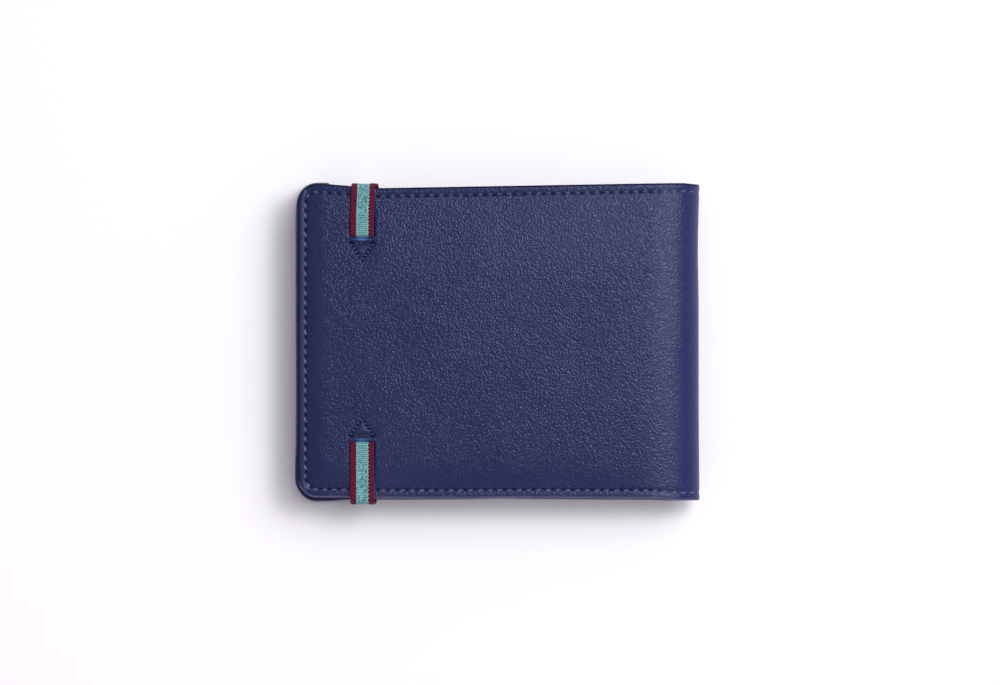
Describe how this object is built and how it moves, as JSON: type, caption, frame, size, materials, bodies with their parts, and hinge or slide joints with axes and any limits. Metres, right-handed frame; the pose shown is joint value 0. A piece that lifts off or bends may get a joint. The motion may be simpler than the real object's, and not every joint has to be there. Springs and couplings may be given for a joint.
{
  "type": "bifold wallet",
  "caption": "Bifold leather wallet with a note compartment and card slots, folded shut, and an elastic band that goes through slits in one cover and round both to hold it closed.",
  "frame": {"origin": "centre of the closed wallet's footprint, on the surface it rests on: the underside of the elastic where it crosses the front cover", "axes": "+X from the free edge to the spine, +Y to the open side of the note compartment, +Z from the front cover to the back cover"},
  "size_m": [0.1199, 0.0964, 0.0173],
  "materials": {
    "outer_leather": "fine grained full-grain leather, satin, navy",
    "inner_leather": "smooth thin leather, satin, navy",
    "lining_cloth": "plain woven cloth, matt, navy",
    "thread": "twisted sewing thread, satin, navy",
    "elastic": "ribbed woven elastic, teal with a maroon stripe along both edges",
    "stiffener_board": "thin pressed board, unseen between leather and lining"
  },
  "bodies": {
    "front_cover": {"front_cover_leather": "outer_leather", "front_cover_edge_thread": "thread", "front_cover_stiffener": "stiffener_board", "front_cover_lining": "lining_cloth", "front_cover_inner_panel": "inner_leather", "front_cover_card_slot_1": "inner_leather", "front_cover_card_slot_2": "inner_leather", "front_cover_card_slot_3": "inner_leather", "front_cover_card_slot_4": "inner_leather"},
    "spine_1": {"spine_leather_1": "outer_leather", "spine_lining_1": "lining_cloth", "gutter_lining_1": "lining_cloth"},
    "spine_2": {"spine_leather_2": "outer_leather", "spine_lining_2": "lining_cloth", "gutter_lining_2": "lining_cloth"},
    "spine_3": {"spine_leather_3": "outer_leather", "spine_lining_3": "lining_cloth", "gutter_lining_3": "lining_cloth"},
    "spine_4": {"spine_leather_4": "outer_leather", "spine_lining_4": "lining_cloth", "gutter_lining_4": "lining_cloth"},
    "back_cover": {"back_cover_leather": "outer_leather", "back_cover_edge_thread": "thread", "back_cover_stiffener": "stiffener_board", "back_cover_lining": "lining_cloth", "back_cover_inner_panel": "inner_leather", "back_cover_card_slot_1": "inner_leather", "back_cover_card_slot_2": "inner_leather", "back_cover_card_slot_3": "inner_leather", "back_cover_card_slot_4": "inner_leather", "top_tack_thread": "thread", "bottom_tack_thread": "thread", "elastic_top_leg": "elastic", "elastic_bottom_leg": "elastic"},
    "elastic_band": {"elastic_loop": "elastic"}
  },
  "joints": [
    {"name": "cover_open", "type": "hinge", "parent": "front_cover", "child": "back_cover", "pos_m": [0.06332, 0, 0.00865], "axis": [0, 1, 0], "range_deg": [0, 180], "deforming": ["elastic_loop"]},
    {"name": "spine_bend_1", "type": "hinge", "parent": "front_cover", "child": "spine_1", "pos_m": [0.05436, 0, 0.00175], "axis": [0, 1, 0], "range_deg": [0, 36]},
    {"name": "spine_bend_2", "type": "hinge", "parent": "spine_1", "child": "spine_2", "pos_m": [0.05798, 0, 0.00439], "axis": [0, 1, 0], "range_deg": [0, 36]},
    {"name": "spine_bend_4", "type": "hinge", "parent": "back_cover", "child": "spine_4", "pos_m": [0.05436, 0, 0.01555], "axis": [0, 1, 0], "range_deg": [-36, 0]},
    {"name": "spine_bend_3", "type": "hinge", "parent": "spine_4", "child": "spine_3", "pos_m": [0.05798, 0, 0.01291], "axis": [0, 1, 0], "range_deg": [-36, 0]},
    {"name": "band_slip", "type": "slide", "parent": "back_cover", "child": "elastic_band", "axis": [-1, 0, 0], "range_m": [0, 0.024]}
  ],
  "couplings": [
    {"joint": "spine_bend_1", "follows": "cover_open", "ratio": 0.2},
    {"joint": "spine_bend_2", "follows": "cover_open", "ratio": 0.2},
    {"joint": "spine_bend_3", "follows": "cover_open", "ratio": -0.2},
    {"joint": "spine_bend_4", "follows": "cover_open", "ratio": -0.2}
  ]
}
